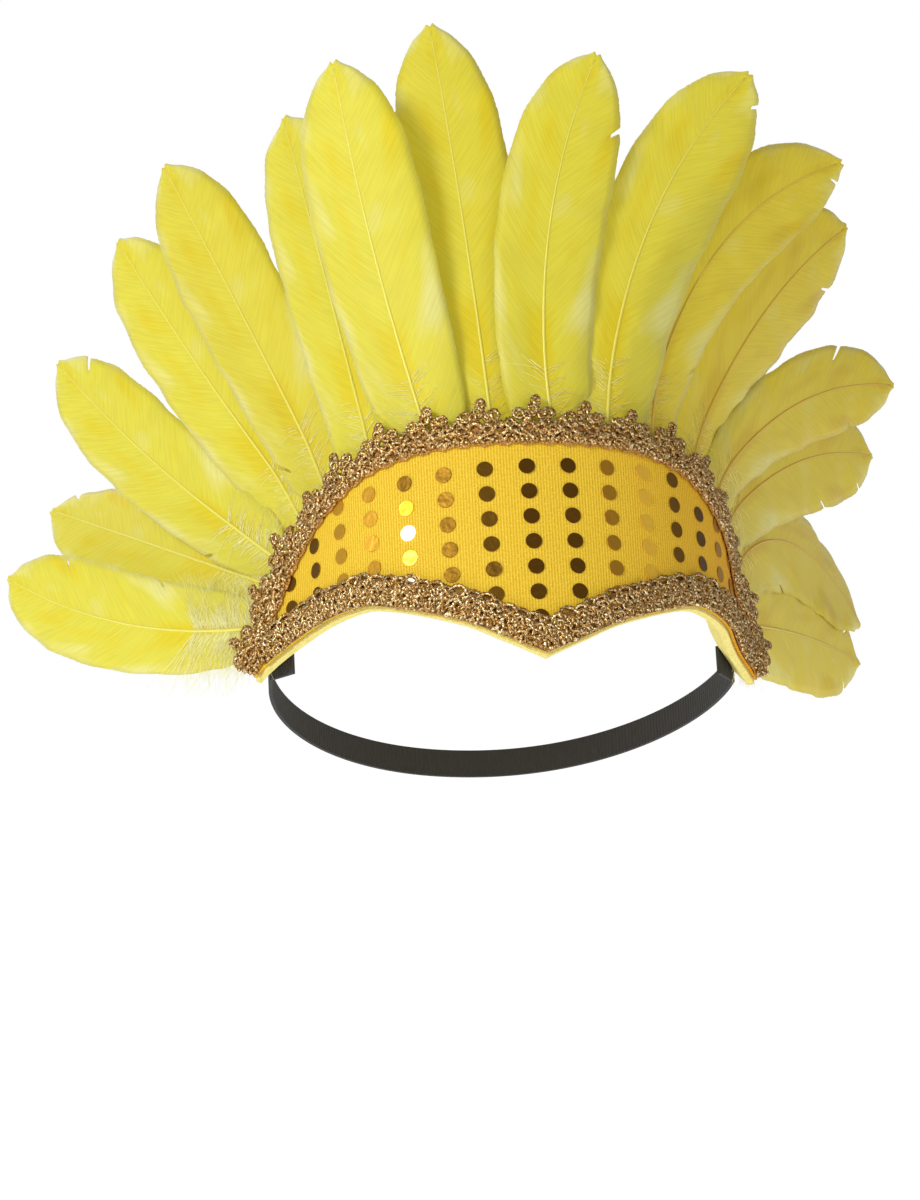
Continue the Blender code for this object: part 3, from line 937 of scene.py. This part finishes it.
def feather_frames(row):
    """Points along a feather's shaft, each with its sideways and its outward direction."""
    _, station, foot, fan, bend, splay, roll, length, _, _, layer = row
    fan, bend, splay, roll = (math.radians(x) for x in (fan, bend, splay, roll))
    deepest = -(FABRIC_WALL + POCKET_DEPTH - SHAFT_RADIUS)
    start, along, outward = band_plan(station * HALF_LENGTH)
    point = start + outward * (deepest + layer * LAYER_PITCH) + Vector((0, 0, foot * CROWN_HEIGHT))
    up = Vector((0, 0, 1))
    step = length * FEATHER_LENGTH / SPINE_STEPS
    turn = LEAN.to_3x3()
    frames = []
    for i in range(SPINE_STEPS + 1):
        run = i * step
        angle = fan + bend * i / SPINE_STEPS
        lift = splay * ease(run, TURN_START, TURN_END)
        twist = roll * ease(run, ROLL_START, TURN_END)
        rising = along * math.sin(angle) + up * math.cos(angle)
        sideways = along * math.cos(angle) - up * math.sin(angle)
        facing = outward * math.cos(lift) - rising * math.sin(lift)
        across = sideways * math.cos(twist) + facing * math.sin(twist)
        proud = facing * math.cos(twist) - sideways * math.sin(twist)
        frames.append((LEAN @ point, turn @ across, turn @ proud))
        point = point + (rising * math.cos(lift) + outward * math.sin(lift)) * step
    return frames


def at_share(frames, share):
    """Frame at a share of the feather's length."""
    place = min(max(share, 0), 1) * SPINE_STEPS
    index = min(int(place), SPINE_STEPS - 1)
    mix = place - index
    return [a.lerp(b, mix) for a, b in zip(frames[index], frames[index + 1])]


def barb_reach(root, half, length):
    """How far sideways a barb from this root runs before it meets the vane's outline."""
    low, high = 0.0, half
    for _ in range(22):
        middle = (low + high) / 2
        share = (root + middle / math.tan(BARB_ANGLE)) / length
        if share < 1 and half * smooth_table(VANE_SHAPE, 1, share) > middle:
            low = middle
        else:
            high = middle
    return low


class HEADDRESS_OT_feathers(bpy.types.Operator):
    """Make each dyed feather: a vane of barbs with splits, a shaft and down at its foot"""

    bl_idname = "headdress.feathers"
    bl_label = "Feathers"

    def execute(self, context):
        for row, looks in zip(FEATHERS, FEATHER_LOOKS):
            self.feather(row, looks)
        return {"FINISHED"}

    def feather(self, row, looks):
        """Make one feather and join its vane, shaft and down into one piece."""
        name = row[0]
        _, tone, strands, longest, splits_left, splits_right = looks
        rng = random.Random(name)
        frames = feather_frames(row)
        vane = self.vane(row, frames, tone, (splits_left, splits_right), rng)
        shaft = self.shaft(name, frames, tone)
        down = self.down(name, frames, tone, strands, longest, rng)
        whole = join(name + "_barbed", [vane, shaft, down])
        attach(whole, "root")
        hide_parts(name)

    def vane(self, row, frames, tone, splits, rng):
        """The vane as a thin closed sheet whose rows of faces run along the barbs."""
        name, length = row[0], row[7] * FEATHER_LENGTH
        columns, rows = settings().barb_columns, settings().barb_rows
        half = columns // 2
        sides = {}
        for side, width, count in ((-1, row[8], splits[0]), (1, row[9], splits[1])):
            cuts = sorted(rng.sample(range(12, rows - 6), count))
            opens = {cut: (rng.uniform(0.0003, 0.0012), rng.uniform(0.55, 0.85)) for cut in cuts}
            wave = [rng.uniform(0, 2 * math.pi) for _ in range(4)]
            sides[side] = (width * FEATHER_WIDTH, opens, wave)
        barbs = self.barbs(sides, length, rows, rng)
        obj = grid(name + "_vane", columns, rows)
        for index, vertex in enumerate(obj.data.vertices):
            i, j = divmod(index, columns + 1)
            side = -1 if j < half else 1
            v = abs(j - half) / half
            root, reach, shift, begin = barbs[side, i]
            wave = sides[side][2]
            across = reach * v
            run = root + reach * v * (0.82 + 0.18 * v) / math.tan(BARB_ANGLE)
            if v > begin:
                run += shift * ((v - begin) / (1 - begin)) ** 0.9
            share = run / length
            centre, sideways, proud = at_share(frames, share)
            cup = across**2 / (2 * VANE_CUP_RADIUS)
            flutter = 0.0005 * v**2 * math.sin(38 * share + wave[1])
            flutter += 0.0003 * v * math.sin(71 * share + wave[2])
            flutter -= 0.0012 * v**5
            vertex.co = centre + sideways * (side * across) + proud * (flutter - cup + 0.0001)
        obj.data.materials.append(vane_material(name + "_dye", tone))
        self.cut_splits(obj, sides, columns, half)
        apply_solidify(obj, settings().vane_thickness, 0.0)
        obj.data.polygons.foreach_set("use_smooth", [True] * len(obj.data.polygons))
        return obj

    def barbs(self, sides, length, rows, rng):
        """Each barb's root, reach, shift away from a split and the share at which that begins."""
        base, end = BARBS_START * length, BARBS_END * length
        table = {}
        for side in (-1, 1):
            width, opens, wave = sides[side]
            for i in range(rows + 1):
                t = i / rows
                root = base + (end - base) * t
                reach = barb_reach(root, width, length)
                ragged = 1 - 0.012 * rng.random() - 0.010 * math.sin(40 * t + wave[0])
                shift, begin = 0.0, 1.0
                for cut, (opening, start) in opens.items():
                    gap = i - cut - 0.5
                    if abs(gap) < 9:
                        shift += math.copysign(opening * math.exp(-abs(gap) / 3.5), gap)
                        begin = min(begin, start)
                        ragged -= 0.03 * math.exp(-abs(gap) / 1.6)
                table[side, i] = (root, reach * ragged, shift, begin)
        return table

    def cut_splits(self, obj, sides, columns, half):
        """Take out the faces between two rows of barbs where the vane has come apart."""
        pick(obj)
        mesh = bmesh.new()
        mesh.from_mesh(obj.data)
        mesh.faces.ensure_lookup_table()
        doomed = []
        for side, (_, opens, _) in sides.items():
            for cut, (_, begin) in opens.items():
                for j in range(columns):
                    v = (half - j - 1) / half if side < 0 else (j - half) / half
                    if v >= begin and 0 <= v < 1:
                        doomed.append(mesh.faces[cut * columns + j])
        bmesh.ops.delete(mesh, geom=doomed, context="FACES_ONLY")
        mesh.to_mesh(obj.data)
        mesh.free()

    def shaft(self, name, frames, tone):
        """The shaft, which thins fast above the quill."""
        # the shaft darkens with the feather's tone, partly painted shade
        mustard_and_shade = max(tone - 0.2, 0) * 1.6
        tint = blend_colour((0.84, 0.76, 0.12), (0.66, 0.34, 0.01), mustard_and_shade)
        quill, _, shader = shader_of(name + "_quill", tint, 0.4)
        shader.inputs["Coat Weight"].default_value = 0.3
        points, faces, line, radii = [], [], [], []
        for i in range(SHAFT_STEPS + 1):
            share = 0.975 * i / SHAFT_STEPS
            centre, _, proud = at_share(frames, share)
            radius = SHAFT_RADIUS * (1 - SHAFT_TAPER * share**SHAFT_TAPER_POWER)
            line.append(centre + proud * (radius * 0.5))
            radii.append(radius)
        sweep(points, faces, line, radii, 8)
        return mesh_object(name + "_shaft", points, faces, quill)

    def down(self, name, frames, tone, strands, longest, rng):
        """Loose curled strands at the vane's foot."""
        points, faces = [], []
        for _ in range(strands):
            side = rng.choice((-1, 1))
            share = rng.uniform(DOWN_START, DOWN_END)
            centre, sideways, proud = at_share(frames, share)
            ahead = (at_share(frames, share + 0.03)[0] - centre).normalized()
            reach = rng.uniform(0.35, 1.0) * longest * FEATHER_WIDTH
            curl = rng.uniform(-0.9, 0.9)
            lean = rng.uniform(0.15, 0.9)
            wander = rng.uniform(-0.0008, 0.0008)
            line, radii = [], []
            for i in range(DOWN_STEPS + 1):
                t = i / DOWN_STEPS
                out = reach * t
                cup = out**2 / (2 * VANE_CUP_RADIUS)
                wave = 0.0005 * math.sin(5 * t + curl)
                line.append(
                    centre
                    + sideways * (side * out)
                    + ahead * (out * lean + 0.35 * reach * curl * t * t)
                    + proud * (wander * t - cup + wave)
                )
                radii.append(DOWN_RADIUS * (1 - 0.75 * t))
            sweep(points, faces, line, radii, 3)
        # the down darkens with the feather's tone, partly painted shade
        tint = blend_colour((0.97, 0.93, 0.42), (0.90, 0.76, 0.20), tone)
        fluff, _, _ = shader_of(name + "_down", tint, 0.8)
        return mesh_object(name + "_down_strands", points, faces, fluff)


def strap_plan():
    """Plan points of the strap's outer face from one sewn end round the back to the other."""
    out = -(FABRIC_WALL + FIT_GAP + POCKET_DEPTH + BACKING_WALL + FIT_GAP)
    halves = []
    for side in (-1, 1):
        seam = []
        for share in (1.0, 0.75, 0.5, 0.25, 0.0):
            point, _, outward = band_plan(side * (HALF_LENGTH - share * STRAP_SEAM))
            seam.append(point + outward * out)
        end = seam[-1]
        leave = Vector((end.x, end.y + HEAD_BACK * 0.45, 0))
        arrive = Vector((end.x * 0.62, HEAD_BACK, 0))
        back = Vector((0, HEAD_BACK, 0))
        curve = []
        for i in range(1, STRAP_STEPS + 1):
            t = i / STRAP_STEPS
            curve.append(
                end * (1 - t) ** 3
                + leave * 3 * t * (1 - t) ** 2
                + arrive * 3 * t**2 * (1 - t)
                + back * t**3
            )
        halves.append(seam + curve)
    return halves[0] + list(reversed(halves[1]))[1:]


class HEADDRESS_OT_strap(bpy.types.Operator):
    """Make the woven elastic round the back of the head"""

    bl_idname = "headdress.strap"
    bl_label = "Elastic strap"

    def execute(self, context):
        plan = strap_plan()
        last = len(plan) - 1
        obj = grid("elastic_strap_woven", last, STRAP_ROWS)
        for index, vertex in enumerate(obj.data.vertices):
            row, column = divmod(index, last + 1)
            point = plan[column]
            z = STRAP_LEVEL + STRAP_WIDTH * (row / STRAP_ROWS - 0.5)
            vertex.co = LEAN @ (point + Vector((0, 0, z)))
        material, tree, shader = shader_of("dark_elastic_woven", (0.035, 0.033, 0.035), 0.75)
        uv = tree.nodes.new("ShaderNodeUVMap")
        ribs = tree.nodes.new("ShaderNodeTexWave")
        ribs.bands_direction = "X"
        ribs.inputs["Scale"].default_value = 60.0
        tree.links.new(uv.outputs["UV"], ribs.inputs["Vector"])
        bump_node(tree, ribs.outputs["Fac"], shader, 0.6, 0.0004)
        obj.data.materials.append(material)
        apply_solidify(obj, STRAP_THICKNESS, 1.0)
        bpy.ops.object.shade_smooth_by_angle(angle=math.radians(40))
        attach(obj, "root")
        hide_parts("elastic_strap")
        return {"FINISHED"}


class HEADDRESS_OT_stage(bpy.types.Operator):
    """Set the camera, the pale floor and the soft lights"""

    bl_idname = "headdress.stage"
    bl_label = "Stage"

    def execute(self, context):
        scene = context.scene
        data = bpy.data.cameras.new("camera")
        data.lens = CAMERA_LENS
        data.sensor_width = CAMERA_SENSOR
        camera = bpy.data.objects.new("camera", data)
        camera.location = CAMERA_PLACE
        camera.rotation_euler = (math.radians(90), 0, CAMERA_TURN)
        scene.collection.objects.link(camera)
        scene.camera = camera

        bpy.ops.object.select_all(action="DESELECT")
        bpy.ops.mesh.primitive_plane_add(size=FLOOR_SIZE, location=(0, 0, FLOOR_LEVEL))
        floor = context.active_object
        floor.name = "floor"
        pale, _, shader = shader_of("pale_floor", (0.80, 0.80, 0.80), 0.9)
        shader.inputs["Emission Color"].default_value = (1, 1, 1, 1)
        seen = pale.node_tree.nodes.new("ShaderNodeLightPath").outputs["Is Camera Ray"]
        bright = math_node(pale.node_tree, "MULTIPLY_ADD", seen, FLOOR_SEEN)
        bright.node.inputs[2].default_value = FLOOR_GLOW
        pale.node_tree.links.new(bright, shader.inputs["Emission Strength"])
        floor.data.materials.append(pale)

        world = bpy.data.worlds.new("studio")
        scene.world = world
        world.use_nodes = True
        tree = world.node_tree
        backdrop = tree.nodes["Background"]
        backdrop.inputs["Color"].default_value = (1, 1, 1, 1)
        rays = tree.nodes.new("ShaderNodeLightPath")
        seen = math_node(tree, "MULTIPLY", rays.outputs["Is Camera Ray"], 1 - AMBIENT)
        tree.links.new(math_node(tree, "ADD", seen, AMBIENT), backdrop.inputs["Strength"])
        scene.view_settings.view_transform = "Standard"

        for name, place, size, power, colour in LIGHTS:
            light = bpy.data.lights.new(name, "AREA")
            light.size = size
            light.energy = power
            light.color = colour
            lamp = bpy.data.objects.new(name, light)
            lamp.location = place
            aim = Vector(LIGHTS_AIM) - Vector(place)
            lamp.rotation_euler = aim.to_track_quat("-Z", "Y").to_euler()
            scene.collection.objects.link(lamp)
        return {"FINISHED"}


class HEADDRESS_PT_panel(bpy.types.Panel):
    """Lists the steps that dress the headdress"""

    bl_label = "Headdress"
    bl_idname = "HEADDRESS_PT_panel"
    bl_space_type = "VIEW_3D"
    bl_region_type = "UI"
    bl_category = "Headdress"

    def draw(self, context):
        for name in HeaddressSettings.__annotations__:
            self.layout.prop(context.scene.headdress, name)
        for operator in OPERATORS:
            self.layout.operator(operator.bl_idname)


OPERATORS = (
    HEADDRESS_OT_stage,
    HEADDRESS_OT_backing,
    HEADDRESS_OT_fabric,
    HEADDRESS_OT_sequins,
    HEADDRESS_OT_top_braid,
    HEADDRESS_OT_bottom_braid,
    HEADDRESS_OT_feathers,
    HEADDRESS_OT_strap,
)
CLASSES = (HeaddressSettings, *OPERATORS, HEADDRESS_PT_panel)


def register():
    for item in CLASSES:
        bpy.utils.register_class(item)
    bpy.types.Scene.headdress = bpy.props.PointerProperty(type=HeaddressSettings)


def unregister():
    del bpy.types.Scene.headdress
    for item in reversed(CLASSES):
        bpy.utils.unregister_class(item)


def main():
    register()
    bpy.ops.headdress.stage()
    bpy.ops.headdress.backing()
    bpy.ops.headdress.fabric()
    bpy.ops.headdress.sequins()
    bpy.ops.headdress.top_braid()
    bpy.ops.headdress.bottom_braid()
    bpy.ops.headdress.feathers()
    bpy.ops.headdress.strap()


if __name__ == "__main__":
    main()
